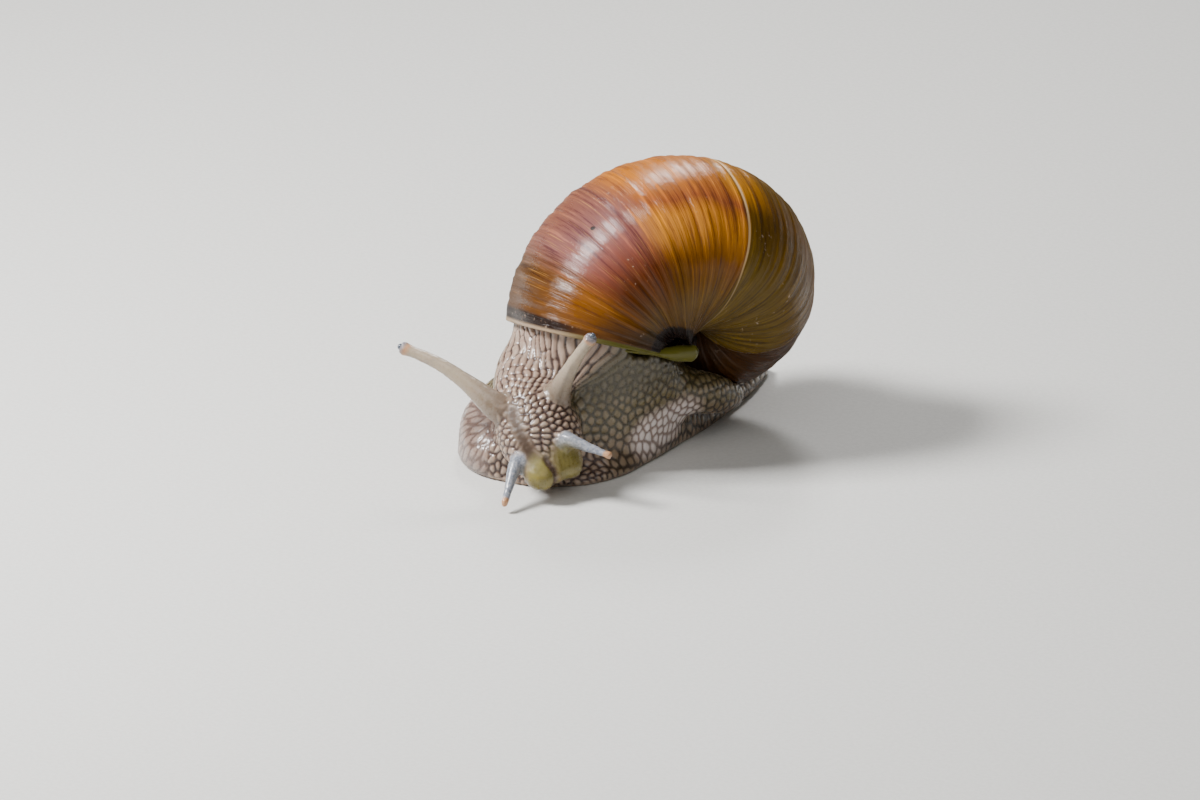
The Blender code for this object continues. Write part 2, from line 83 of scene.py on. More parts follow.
# Columns of the mesh: girth is the angle round the section, 0 at its outermost
FIRST_GIRTH, WALL_GIRTH = -108, 150
GIRTH_STEPS = 112
WALL_STEPS = 18                     # of these, on the side that lies on older whorls
# Rows of the mesh: age is growth back from the lip, in degrees
OLDEST_AGE = 1450.0
FINE_AGE = 440.0                    # rows are a degree apart from here to the lip
OLDER_ROW = 3.2
# Rows past the lip: growth back from the lip, how far in from the outside, how far forward
LIP_ROWS = [(0.0, 0.10, 0.14), (0.0, 0.35, 0.22), (0.0, 0.60, 0.14), (0.0, 0.70, 0.0),
            (1.5, 0.70, 0.0), (4.0, 0.60, 0.0), (8.0, 0.55, 0.0), (13.0, 0.50, 0.0)]
# Low ribs: height in millimetres, and how many in a turn
RIBS = ((0.05, 19), (0.05, 31), (0.04, 53), (0.035, 83), (0.03, 127))
# Rests in growth, each a shallow groove: age, depth in millimetres, half width in degrees
REST_AGE = 107.0
RESTS = ((REST_AGE, 0.14, 1.2), (41.0, 0.08, 1.0))
OLDER_SHADE = 0.6                   # how far the older whorls take the underside's colour
WELD = 0.004 * MM


def soft_step(low, high, value):
    share = np.clip((value - low) / (high - low), 0, 1)
    return share * share * (3 - 2 * share)


def section(girth, extra=0.0, growth=60.0):
    """Points of the tube's section before it is grown; girth is the angle round it."""
    u = np.cos(np.radians(girth))
    v = np.sin(np.radians(girth))
    u = np.sign(u) * np.abs(u) ** (2 / SECTION_POWER)
    v = np.sign(v) * np.abs(v) ** (2 / SECTION_POWER)
    crease = np.interp(girth, CREASE_GIRTHS, CREASE_GROWTHS)
    before = soft_step(crease - 2.5, crease - 0.5, growth)
    base = OLDER_BASE + (BASE_GAIN + CREASE_GAIN * soft_step(-60, -120, growth)) * before
    right, down = SECTION_HALF_WIDTH * u, np.where(v > 0, base, SECTION_ROOF) * v
    reach = np.hypot(right, down)
    swell_right = SWELL_MIDDLE[0] - SECTION_MIDDLE[0]
    swell_down = SWELL_MIDDLE[1] - SECTION_MIDDLE[1]
    radius = SWELL_RADIUS * np.clip(SWELL_THIN_END + (SWELL_START - growth) / SWELL_RISE, 0, 1)
    radius *= soft_step(crease - 4.5, crease - 1.5, growth)
    facing = (right * swell_right + down * swell_down) / reach
    inside = radius ** 2 - (swell_right ** 2 + swell_down ** 2 - facing ** 2)
    swell = np.where((inside > 0) & (facing > 0), facing + np.sqrt(np.maximum(inside, 0)), 0)
    joined = (reach + swell + np.sqrt((reach - swell) ** 2 + SWELL_BLEND ** 2)) / 2
    across = (SECTION_MIDDLE[0] + right * joined / reach) * LIP_RADIUS + u * extra
    along = (SECTION_MIDDLE[1] + down * joined / reach) * LIP_RADIUS + v * extra
    return np.stack([-across, np.zeros_like(across), along], -1)


def grown(points, degrees):
    """Turn points round the coiling axis and enlarge them, as growth by an angle does."""
    turn = np.radians(degrees)
    scale = WHORL_RATIO ** (degrees / 360.0)
    x = points[..., 0] * np.cos(turn) - points[..., 1] * np.sin(turn)
    y = points[..., 0] * np.sin(turn) + points[..., 1] * np.cos(turn)
    return np.stack([x, y, points[..., 2]], -1) * scale[..., None]


def rim_growth(girth):
    """Growth angle at which each line along the tube reaches the flat of the mouth."""
    low, high = np.full(girth.shape, LEAST_RIM), np.full(girth.shape, MOST_RIM)
    for _ in range(40):
        middle = (low + high) / 2
        beyond = grown(section(girth), middle) @ MOUTH_NORMAL > MOUTH_DISTANCE
        high = np.where(beyond, middle, high)
        low = np.where(beyond, low, middle)
    rim = np.where(girth > 90, np.minimum(low, WALL_RIM), low)
    wall = WALL_RIM + WALL_RISE * np.clip((girth - WALL_GIRTH) / 100, 0, 1)
    return np.where(girth > WALL_GIRTH, wall, rim)


def as_object(name, bm):
    """Make a smooth-shaded object of a bmesh, and free the bmesh."""
    for face in bm.faces:
        face.smooth = True
    mesh = bpy.data.meshes.new(name)
    bm.to_mesh(mesh)
    bm.free()
    thing = bpy.data.objects.new(name, mesh)
    bpy.context.scene.collection.objects.link(thing)
    return thing


girths = np.concatenate([np.linspace(FIRST_GIRTH, WALL_GIRTH, GIRTH_STEPS - WALL_STEPS + 1),
                         np.linspace(WALL_GIRTH, FIRST_GIRTH + 360, WALL_STEPS + 1)[1:]])
rims = rim_growth(girths)
ages = np.concatenate([np.arange(OLDEST_AGE, FINE_AGE, -OLDER_ROW),
                       np.arange(FINE_AGE, -0.1, -1.0)])
rows = [(age, 0.0, 0.0) for age in ages] + LIP_ROWS

bm = bmesh.new()
age_layer = bm.verts.layers.float.new("age")
girth_layer = bm.verts.layers.float.new("girth")
shade_and_old_brown_layer = bm.verts.layers.float.new("shade_and_old_brown")
last_row, last_girth = len(rows) - 1, len(girths) - 1
bmesh.ops.create_grid(bm, x_segments=last_row, y_segments=last_girth, size=1.0)
row_of = [round((vertex.co.x + 1) / 2 * last_row) for vertex in bm.verts]
girth_of = [round((vertex.co.y + 1) / 2 * last_girth) for vertex in bm.verts]
back, inset, forward = np.array(rows)[row_of].T
girth = girths[girth_of]
growth = rims[girth_of] - back
# The underside is dark and reddish with painted shade: all at once past the crease, bit by bit over
# the shoulder; the older whorls take part of the same colour as a browner tone
past_crease = np.interp(girth, CREASE_GIRTHS, CREASE_GROWTHS) - growth
shade_and_old_brown = 0.2 * soft_step(-10, 0, past_crease) + 0.8 * soft_step(-0.6, 0.6, past_crease)
older = OLDER_SHADE * soft_step(-100, -260, growth)
shade_and_old_brown = older + (shade_and_old_brown - older) * soft_step(8, 40, girth)
rng = np.random.default_rng(7)
ribs = sum(height * np.sin(np.radians(back) * count + phase)
           for (height, count), phase in zip(RIBS, rng.uniform(0, 6.28, len(RIBS))))
rests = -sum(deep * np.exp(-((back - middle) / wide) ** 2) for middle, deep, wide in RESTS)
relief = np.where(inset > 0, 0, (ribs + rests) * np.clip(back / 6, 0, 1))
placed = grown(section(girth, relief * MM - inset * MM, growth), growth)
placed += forward[:, None] * MM * MOUTH_NORMAL
in_place = placed @ np.array(SHELL_PLACE.to_3x3()).T + np.array(SHELL_PLACE.translation)
shown_age = np.where(inset > 0, -inset, back)
for vertex, place, old, angle, below in zip(bm.verts, in_place, shown_age, girth, shade_and_old_brown):
    vertex.co = place
    vertex[age_layer] = old
    vertex[girth_layer] = angle
    vertex[shade_and_old_brown_layer] = below
seam = [vertex for vertex, column in zip(bm.verts, girth_of) if column in (0, last_girth)]
bmesh.ops.remove_doubles(bm, verts=seam, dist=WELD)
bmesh.ops.holes_fill(bm, edges=[edge for edge in bm.edges if edge.is_boundary])

# The first whorl, with which the snail hatched, is a smooth dome that closes the tip
FIRST_MIDDLE = (0.33, 1.0)          # across and along the axis, in shares like the section's
FIRST_RADII = (0.68, 0.55)
FIRST_SHOWN_GIRTH = -60.0           # it has the colour of a whorl's shoulder
first_growth = WALL_RIM - OLDEST_AGE
first_scale = LIP_RADIUS * WHORL_RATIO ** (first_growth / 360.0)
first_place = (SHELL_PLACE @ Matrix.Rotation(math.radians(first_growth), 4, "Z")
               @ Matrix.Scale(first_scale, 4)
               @ Matrix.Translation((-FIRST_MIDDLE[0], 0, FIRST_MIDDLE[1]))
               @ Matrix.Diagonal((FIRST_RADII[0], FIRST_RADII[0], FIRST_RADII[1], 1.0)))
made = bmesh.ops.create_uvsphere(bm, u_segments=40, v_segments=20, radius=1.0,
                                 matrix=first_place)
for vertex in made["verts"]:
    vertex[age_layer] = OLDEST_AGE
    vertex[girth_layer] = FIRST_SHOWN_GIRTH
    vertex[shade_and_old_brown_layer] = OLDER_SHADE

# The inner end of the lip curls back over the hole as a flat tongue.  Its stations, from
# the apex, in millimetres: (x, y, z, half width, half height)
TONGUE = np.array([(15.1, -37.9, -2.0, 0.50, 0.25), (17.9, -35.1, -2.8, 0.60, 0.35),
                   (20.0, -31.2, -3.85, 0.70, 0.42), (21.2, -28.4, -4.5, 0.75, 1.10),
                   (21.8, -25.3, -5.2, 0.60, 1.20), (21.9, -24.6, -5.4, 0.30, 0.70)])
TONGUE_STEPS, TONGUE_SIDES, TONGUE_SMOOTHINGS = 60, 24, 12
TONGUE_AGE, TONGUE_GIRTH = 0.6, 104.0     # it has the colour of the lip's edge by the pillar
made = bmesh.ops.create_grid(bm, x_segments=TONGUE_STEPS, y_segments=TONGUE_SIDES, size=1.0)
knots = np.linspace(0, 1, len(TONGUE))
tongue_line = [Vector([np.interp(share, knots, TONGUE[:, axis]) for axis in range(3)])
               for share in np.linspace(0, 1, TONGUE_STEPS + 1)]
for _ in range(TONGUE_SMOOTHINGS):
    tongue_line = [tongue_line[0]] + [(before + here * 2 + after) / 4 for before, here, after
                                      in zip(tongue_line, tongue_line[1:], tongue_line[2:])
                                      ] + [tongue_line[-1]]
for vertex in made["verts"]:
    share, turn = (vertex.co.x + 1) / 2, math.pi * vertex.co.y
    step = round(share * TONGUE_STEPS)
    ahead = tongue_line[min(step + 1, TONGUE_STEPS)] - tongue_line[max(step - 1, 0)]
    side = Vector((0, 0, 1)).cross(ahead).normalized()
    over = ahead.normalized().cross(side)
    wide, high = (np.interp(share, knots, TONGUE[:, axis]) for axis in (3, 4))
    off = side * (wide * math.cos(turn)) + over * (high * math.sin(turn))
    vertex.co = APEX + (tongue_line[step] + off) * MM
    vertex[age_layer] = TONGUE_AGE - TONGUE_AGE * math.sin(turn)
    vertex[girth_layer] = TONGUE_GIRTH
    vertex[shade_and_old_brown_layer] = 0.0
bmesh.ops.remove_doubles(bm, verts=made["verts"], dist=WELD)
bmesh.ops.holes_fill(bm, edges=[edge for edge in bm.edges if edge.is_boundary])
bmesh.ops.recalc_face_normals(bm, faces=bm.faces)
coiled_shell = as_object("coiled_shell", bm)


def new_material(name, roughness):
    """A new material, its node tree and its surface shader."""
    finish = bpy.data.materials.new(name)
    finish.use_nodes = True
    surface = finish.node_tree.nodes["Principled BSDF"]
    surface.inputs["Roughness"].default_value = roughness
    return finish, finish.node_tree, surface


def node(tree, kind, values=None, **settings):
    """Add a shader node; values maps its inputs to numbers, colours or other outputs."""
    made = tree.nodes.new("ShaderNode" + kind)
    for name, setting in settings.items():
        setattr(made, name, setting)
    for socket, value in (values or {}).items():
        if isinstance(value, bpy.types.NodeSocket):
            tree.links.new(value, made.inputs[socket])
        else:
            made.inputs[socket].default_value = value
    return made


def calc(tree, operation, *values):
    """Do one sum on numbers or outputs."""
    return node(tree, "Math", dict(enumerate(values)), operation=operation).outputs[0]


def span(tree, value, low, high, start=0.0, end=1.0, smooth=True):
    """Map a value from one range to another, and hold it at the ends."""
    kind = "SMOOTHSTEP" if smooth else "LINEAR"
    return node(tree, "MapRange", {0: value, 1: low, 2: high, 3: start, 4: end},
                interpolation_type=kind).outputs[0]


def times(tree, *values):
    """Multiply numbers or outputs."""
    product = values[0]
    for value in values[1:]:
        product = calc(tree, "MULTIPLY", product, value)
    return product


def ramp(tree, factor, stops):
    """Colour ramp; stops are (position, (red, green, blue))."""
    made = node(tree, "ValToRGB", {0: factor})
    marks = made.color_ramp.elements
    while len(marks) < len(stops):
        marks.new(1.0)
    for mark, (position, colour) in zip(marks, stops):
        mark.position = position
        mark.color = (*colour, 1.0)
    return made.outputs[0]


def blend(tree, factor, first, second, mode="MIX"):
    """Mix two colours, each a (red, green, blue) or an output."""
    made = node(tree, "Mix", {0: factor}, data_type="RGBA", blend_type=mode)
    for socket, value in ((6, first), (7, second)):
        if isinstance(value, bpy.types.NodeSocket):
            tree.links.new(value, made.inputs[socket])
        else:
            made.inputs[socket].default_value = (*value, 1.0)
    return made.outputs[2]


def noise(tree, vector, scale, detail=3.0, roughness=0.5):
    return node(tree, "TexNoise", {"Vector": vector, "Scale": scale, "Detail": detail,
                                   "Roughness": roughness}).outputs[0]


def attribute(tree, name):
    """A value that the mesh carries at each point."""
    return node(tree, "Attribute", attribute_name=name).outputs["Fac"]


def growth_lines(tree, age, girth, along, around, detail, roughness=0.6):
    """Noise drawn out into streaks that follow the growth lines."""
    where = node(tree, "CombineXYZ", {0: times(tree, age, along),
                                      1: times(tree, girth, around)}).outputs[0]
    return noise(tree, where, 1.0, detail, roughness)


def grain_group():
    """Fine unevenness, as a value near 0.5, from the place on the piece and a scale."""
    tree = bpy.data.node_groups.new("fine_grain", "ShaderNodeTree")
    tree.interface.new_socket("Scale", in_out="INPUT", socket_type="NodeSocketFloat")
    tree.interface.new_socket("Grain", in_out="OUTPUT", socket_type="NodeSocketFloat")
    inner = tree.nodes.new("NodeGroupInput")
    outer = tree.nodes.new("NodeGroupOutput")
    place = node(tree, "TexCoord").outputs["Object"]
    value = noise(tree, place, inner.outputs["Scale"], 4.0, 0.6)
    tree.links.new(value, outer.inputs["Grain"])
    return tree


fine_grain = grain_group()


def grain(tree, scale):
    """Place the shared grain in a material, with a scale of its own."""
    made = tree.nodes.new("ShaderNodeGroup")
    made.node_tree = fine_grain
    made.inputs["Scale"].default_value = scale
    return made.outputs["Grain"]


# Colours of the horn, and two tints that its colours are multiplied by
GOLD, THREAD, DEEP_HORN = (0.35, 0.135, 0.005), (0.55, 0.27, 0.07), (0.055, 0.020, 0.004)
# Of these, the red-brown is the underside's painted shade, and the near black is painted shade in
# the hole
CREAM, RED_BROWN, HOLE_SHADE = (0.66, 0.44, 0.22), (0.040, 0.010, 0.0015), (0.008, 0.003, 0.002)
SCUFFED, PIT_DARK = (0.52, 0.38, 0.28), (0.02, 0.012, 0.010)
BORDER_DARK, BORDER_SCUFFED = (0.010, 0.005, 0.004), (0.17, 0.12, 0.09)
EDGE_PALE, EDGE_GREEN = (0.30, 0.21, 0.13), (0.085, 0.078, 0.008)
PALER, DARKER = (2.0, 2.0, 1.6), (0.38, 0.30, 0.45)
# Where the worn pit is, and how far it reaches: age and girth
PIT_PLACE, PIT_REACH = (43.0, 31.0), (1.1, 1.7)

horn, tree, surface = new_material("shell_horn", 0.28)
age = attribute(tree, "age")
around = attribute(tree, "girth")
broad = growth_lines(tree, age, around, 0.06, 0.012, 2.0, 0.5)
streak = growth_lines(tree, age, around, 0.55, 0.014, 5.0, 0.68)
fine = growth_lines(tree, age, around, 1.9, 0.022, 3.0)
# Bands that run with the coil, from the suture over the shoulder to the base and the hole
wander = times(tree, calc(tree, "SUBTRACT", broad, 0.5), 26.0)
band = span(tree, calc(tree, "ADD", around, wander), -100.0, 150.0, smooth=False)
# Each ramp darkens near its high end, towards the base and the hole: painted shade over the horn's
# own bands
newest = ramp(tree, band, [
    (0.00, (0.07, 0.028, 0.005)), (0.40, (0.060, 0.025, 0.006)), (0.54, (0.090, 0.033, 0.006)),
    (0.66, (0.170, 0.054, 0.003)), (0.72, (0.190, 0.060, 0.001)), (0.77, (0.12, 0.040, 0.001)),
    (0.84, (0.030, 0.014, 0.0004)), (1.00, (0.015, 0.005, 0.001))])
# The plum's paler, bluer middle, from 0.50 to 0.60, is partly a painted sheen
plum_and_sheen = ramp(tree, band, [
    (0.00, (0.11, 0.038, 0.014)), (0.38, (0.16, 0.056, 0.032)), (0.50, (0.165, 0.066, 0.058)),
    (0.60, (0.195, 0.066, 0.052)), (0.67, (0.140, 0.032, 0.014)), (0.75, (0.100, 0.025, 0.001)),
    (0.84, (0.085, 0.038, 0.0005)), (1.00, (0.020, 0.005, 0.001))])
bands = ramp(tree, band, [
    (0.00, (0.19, 0.060, 0.006)), (0.42, (0.36, 0.115, 0.010)), (0.52, (0.20, 0.055, 0.016)),
    (0.57, (0.40, 0.145, 0.012)), (0.63, (0.36, 0.130, 0.006)), (0.71, (0.150, 0.050, 0.001)),
    (0.80, (0.100, 0.047, 0.0003)), (1.00, (0.02, 0.005, 0.001))])
# Behind the rest line the horn is olive brown; its olive is partly a painted green cast of
# reflected light
olive_and_green_cast = ramp(tree, band, [
    (0.00, (0.14, 0.060, 0.004)), (0.40, (0.16, 0.080, 0.003)), (0.46, (0.14, 0.058, 0.001)),
    (0.53, (0.105, 0.048, 0.0003)), (0.70, (0.094, 0.054, 0.0003)),
    (0.86, (0.086, 0.048, 0.0003)), (1.00, (0.02, 0.006, 0.001))])
uneven = calc(tree, "ADD", age, times(tree, streak, 12.0))
# The plum, with its painted sheen, takes over from the newest horn
colour = blend(tree, span(tree, uneven, 25.0, 36.0), newest, plum_and_sheen)
colour = blend(tree, span(tree, uneven, 58.0, 72.0), colour, bands)
colour = blend(tree, span(tree, age, 105.5, 108.5), colour, olive_and_green_cast)
gold = times(tree, span(tree, age, 126.0, 111.0), span(tree, age, 98.0, 104.0),
            span(tree, band, 0.52, 0.43), span(tree, band, 0.26, 0.37))
colour = blend(tree, gold, colour, GOLD)
pale_streaks = span(tree, streak, 0.54, 0.64)
colour = blend(tree, times(tree, pale_streaks, 0.65), colour, PALER, "MULTIPLY")
dark_streaks = span(tree, streak, 0.48, 0.38)
colour = blend(tree, times(tree, dark_streaks, 0.75), colour, DARKER, "MULTIPLY")
threads = times(tree, span(tree, fine, 0.58, 0.70), span(tree, age, 120.0, 95.0, 0.05, 0.34),
               span(tree, band, 0.84, 0.66, 0.25, 1.0))
colour = blend(tree, threads, colour, THREAD)
# The horn by the lip was laid down last and is the deepest brown
colour = blend(tree, span(tree, age, 20.0, 5.0, 0.0, 0.45), colour, DEEP_HORN)
# The last rest in growth left a pale line; behind it the shell is a year older
rest_age = calc(tree, "ADD", REST_AGE, span(tree, around, 70.0, 120.0, 0.0, 6.0))
off_rest = calc(tree, "ABSOLUTE", calc(tree, "SUBTRACT", age, rest_age))
rest_line = times(tree, span(tree, off_rest, 0.9, 0.2), span(tree, around, 95.0, 50.0, 0.25, 0.85))
colour = blend(tree, rest_line, colour, CREAM)
# Painted shade: the underside past the crease is dark and reddish, and the hole beside it nearly
# black
shade_and_old_brown = attribute(tree, "shade_and_old_brown")
colour = blend(tree, times(tree, shade_and_old_brown, 0.85), colour, RED_BROWN)
hole_edge = calc(tree, "SUBTRACT", around, span(tree, age, 60.0, 115.0, 0.0, 14.0))
colour = blend(tree, span(tree, hole_edge, 119.5, 123.5), colour, HOLE_SHADE)
scuff = grain(tree, 1100.0)
worn = grain(tree, 120.0)
scuffs = times(tree, span(tree, scuff, 0.63, 0.71), span(tree, worn, 0.50, 0.64), 0.6)
colour = blend(tree, scuffs, colour, SCUFFED)
# A worn pit, as a dark speck
pit_age = calc(tree, "DIVIDE", calc(tree, "SUBTRACT", age, PIT_PLACE[0]), PIT_REACH[0])
pit_girth = calc(tree, "DIVIDE", calc(tree, "SUBTRACT", around, PIT_PLACE[1]), PIT_REACH[1])
pit = calc(tree, "SQRT", calc(tree, "ADD", calc(tree, "POWER", pit_age, 2.0),
                              calc(tree, "POWER", pit_girth, 2.0)))
colour = blend(tree, span(tree, pit, 1.1, 0.7), colour, PIT_DARK)
# The lip: a dark scuffed border, and a thin pale edge that is greener by the pillar
border = times(tree, span(tree, age, 5.6, 4.2), span(tree, band, 0.78, 0.62))
border_tone = blend(tree, span(tree, scuff, 0.58, 0.70), BORDER_DARK, BORDER_SCUFFED)
colour = blend(tree, times(tree, border, 0.95), colour, border_tone)
edge_tone = blend(tree, span(tree, band, 0.60, 0.78), EDGE_PALE, EDGE_GREEN)
edge_age = calc(tree, "ADD", age, span(tree, band, 0.6, 0.8, 0.0, -1.6))
colour = blend(tree, span(tree, edge_age, 1.6, 0.3), colour, edge_tone)
tree.links.new(colour, surface.inputs["Base Color"])
# Seen at a slant the worn horn is dull, and where it faces the eye it shines
slant = node(tree, "LayerWeight", {"Blend": 0.5}).outputs["Facing"]
dull = calc(tree, "ADD", span(tree, streak, 0.3, 0.7, 0.28, 0.12),
            span(tree, slant, 0.55, 0.90, 0.0, 0.50))
tree.links.new(dull, surface.inputs["Roughness"])
height = calc(tree, "ADD", times(tree, streak, 0.8), times(tree, fine, 0.6))
height = calc(tree, "ADD", height, times(tree, scuff, 0.25))
bump = node(tree, "Bump", {"Strength": 0.7, "Distance": 0.18 * MM, "Height": height})
tree.links.new(bump.outputs[0], surface.inputs["Normal"])
surface.inputs["Specular IOR Level"].default_value = 0.20
surface.inputs["Coat Weight"].default_value = 0.06
surface.inputs["Coat Roughness"].default_value = 0.08
coiled_shell.data.materials.append(horn)
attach(coiled_shell, "root")
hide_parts("shell")

# ---------------------------------------------------------------- skin
# The soft body is one wet skin: a flat sole, a trunk that comes out of the shell's mouth,
# a neck, a head with two lips, and four feelers that can be drawn in.  Grooves part the
# skin into warts: long ones in rows down the neck, small round ones on the head.

SKIN_NODES = ["trunk", "neck", "head", "foot_front", "foot_middle", "tail"]
FEELER_NODES = ["upper_tentacle_left", "upper_tentacle_right",
                "lower_tentacle_left", "lower_tentacle_right"]
SKIN_VOXEL = 0.46 * MM
SWELL_BODY, SWELL_FEELER = 0.2 * MM, 0.13 * MM      # makes up for what smoothing takes off
BODY_PASSES, FEELER_PASSES = 22, 3
PLUG_INSET = 1.0 * MM               # of the flesh from the outside of the shell
PLUG_BACKS = np.array([-0.4, 0.5, 3.0, 8.0])        # degrees back from the lip, ring by ring
FINE_HEIGHT, SOLE_HEIGHT = 0.4 * MM, 0.2 * MM


def melt(thing, passes):
    """Make one even skin of all the closed meshes in a piece, and smooth it."""
    remesh = thing.modifiers.new("melt", "REMESH")
    remesh.mode = "VOXEL"
    remesh.voxel_size = SKIN_VOXEL
    remesh.use_smooth_shade = True
    smooth = thing.modifiers.new("soften", "SMOOTH")
    smooth.factor = 0.5
    smooth.iterations = passes
    depsgraph = bpy.context.evaluated_depsgraph_get()
    mesh = bpy.data.meshes.new_from_object(thing.evaluated_get(depsgraph))
    thing.modifiers.clear()
    thing.data = mesh


def add_closed(bm, mesh, swell):
    """Add a copy of a closed mesh to a bmesh, grown outwards a little."""
    part = bmesh.new()
    part.from_mesh(mesh)
    bmesh.ops.remove_doubles(part, verts=part.verts, dist=0.001 * MM)
    part.normal_update()
    moves = [vertex.normal * swell for vertex in part.verts]
    for vertex, move in zip(part.verts, moves):
        vertex.co += move
    swollen = bpy.data.meshes.new("swollen")
    part.to_mesh(swollen)
    part.free()
    bm.from_mesh(swollen)
    bpy.data.meshes.remove(swollen)


def collar_plug():
    """The part of the trunk that fills the shell's mouth and goes on up into the tube."""
    plug = bmesh.new()
    count = len(girths) - 1
    bmesh.ops.create_cone(plug, cap_ends=True, segments=count, radius1=1.0, radius2=1.0,
                          depth=1.0)
    sides = [edge for edge in plug.edges if abs(edge.verts[0].co.z - edge.verts[1].co.z) > 0.5]
    bmesh.ops.subdivide_edges(plug, edges=sides, cuts=len(PLUG_BACKS) - 2)
    for vertex in plug.verts:
        column = round(math.atan2(vertex.co.y, vertex.co.x) / math.tau * count) % count
        step = round((vertex.co.z + 0.5) * (len(PLUG_BACKS) - 1))
        ring = grown(section(girths[column], -PLUG_INSET), rims[column] - PLUG_BACKS[step])
        vertex.co = SHELL_PLACE @ Vector(ring)
    bmesh.ops.recalc_face_normals(plug, faces=plug.faces)
    mesh = bpy.data.meshes.new("plug")
    plug.to_mesh(mesh)
    plug.free()
    return mesh


def corner(node_name, x, y, z):
    """A point in a CAD node's box; x, y and z are shares of its width, depth and height."""
    low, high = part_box(node_name)
    return Vector(low[i] + (high[i] - low[i]) * share for i, share in enumerate((x, y, z)))


bm = bmesh.new()
for name in SKIN_NODES:
    add_closed(bm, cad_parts[name].data, SWELL_BODY)
add_closed(bm, collar_plug(), 0.0)
skin = as_object("skin", bm)
melt(skin, BODY_PASSES)
bm = bmesh.new()
bm.from_mesh(skin.data)
for name in FEELER_NODES:
    add_closed(bm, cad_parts[name].data, SWELL_FEELER)
bm.to_mesh(skin.data)
bm.free()
melt(skin, FEELER_PASSES)

# Above the sole the mesh is made twice as fine; the flat of the sole gets few faces.  What
# Blender is handed is listed in the mesh's own order, so that every run gives the same skin
bm = bmesh.new()
bm.from_mesh(skin.data)
fine_edges = [edge for edge in bm.edges
              if max(vertex.co.z for vertex in edge.verts) > FINE_HEIGHT]
bmesh.ops.subdivide_edges(bm, edges=fine_edges, cuts=1, use_grid_fill=True)
for _ in range(2):
    raised = [vertex for vertex in bm.verts if vertex.co.z > FINE_HEIGHT]
    bmesh.ops.smooth_vert(bm, verts=raised,
                          factor=0.5, use_axis_x=True, use_axis_y=True, use_axis_z=True)
sole = {face for face in bm.faces
        if face.normal.z < -0.98 and face.calc_center_median().z < SOLE_HEIGHT}
bmesh.ops.dissolve_limit(
    bm, angle_limit=math.radians(4),
    verts=[vertex for vertex in bm.verts if not sole.isdisjoint(vertex.link_faces)],
    edges=[edge for edge in bm.edges if not sole.isdisjoint(edge.link_faces)])
bmesh.ops.triangulate(bm, faces=[face for face in bm.faces if len(face.verts) > 4])
bm.to_mesh(skin.data)
bm.free()
places = np.zeros(len(skin.data.vertices) * 3)
normals = np.zeros(len(skin.data.vertices) * 3)
skin.data.vertices.foreach_get("co", places)
skin.data.vertex_normals.foreach_get("vector", normals)
places, normals = places.reshape(-1, 3), normals.reshape(-1, 3)
heights = places[:, 2] / MM
FAR = 9.0                           # stands for any greater distance, in millimetres


def off_line(start, end, least=-np.inf, most=np.inf):
    """For each place, its share of the way from start to end, and its distance off it."""
    line = np.array(end - start)
    offset = places - np.array(start)
    share = np.clip(offset @ line / (line @ line), least, most)
    return share, np.linalg.norm(offset - share[:, None] * line, axis=1)


def off_path(*points):
    """Distance of each place from a path of straight lengths, in millimetres."""
    legs = [off_line(start, end, 0, 1)[1] for start, end in zip(points, points[1:])]
    return np.min(legs, axis=0) / MM


def off_node(name):
    """Distance of each place from the surface of a CAD node, in millimetres."""
    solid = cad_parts[name].data
    surface = BVHTree.FromPolygons([vertex.co for vertex in solid.vertices],
                                   [tuple(face.vertices) for face in solid.polygons])
    low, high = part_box(name)
    near = ((places > np.array(low) - MM) & (places < np.array(high) + MM)).all(1)
    distance = np.full(len(places), FAR)
    for i in np.flatnonzero(near):
        distance[i] = surface.find_nearest(Vector(places[i]))[3] / MM
    return distance


# Where each feeler leaves the head and where it ends
feelers = {"upper_tentacle_right": (corner("upper_tentacle_right", 0.95, 0.7, 0.1),
                                    corner("eye_right", 0.5, 0.5, 0.5)),
           "upper_tentacle_left": (corner("upper_tentacle_left", 0, 0.5, 0),
                                   corner("eye_left", 0.5, 0.5, 0.5)),
           "lower_tentacle_right": (corner("lower_tentacle_right", 0.1, 1, 0.9),
                                    corner("lower_tentacle_right", 0.87, 0.1, 0.1)),
           "lower_tentacle_left": (corner("lower_tentacle_left", 0, 0.5, 0.7),
                                   corner("lower_tentacle_left", 0.93, 0.3, 0.25))}
on_feeler = np.zeros(len(places))
on_lower = np.zeros(len(places))
feeler_share = np.zeros(len(places))
for name, (start, end) in feelers.items():
    share, _ = off_line(start, end)
    mask = soft_step(0.75, 0.35, off_node(name)) * soft_step(-0.05, 0.10, share)
    feeler_share = np.where(mask > on_feeler, share, feeler_share)
    on_lower = np.where(mask > on_feeler, float(name.startswith("lower")), on_lower)
    on_feeler = np.maximum(on_feeler, mask)

# The neck comes down from the middle of the shell's mouth to between the upper feelers
NECK_START = corner("neck", 0.52, 1.08, 0.82)
NECK_END = corner("head", 0.69, 0.52, 0.56)
neck_way = (NECK_END - NECK_START).normalized()
neck_up = (Vector((0, 0, 1)) - neck_way * neck_way.z).normalized()
neck_left = neck_up.cross(neck_way)
neck_share, neck_off = off_line(NECK_START, NECK_END)
offset = places - np.array(NECK_START)
neck_angle = np.degrees(np.arctan2(offset @ np.array(neck_left), offset @ np.array(neck_up)))
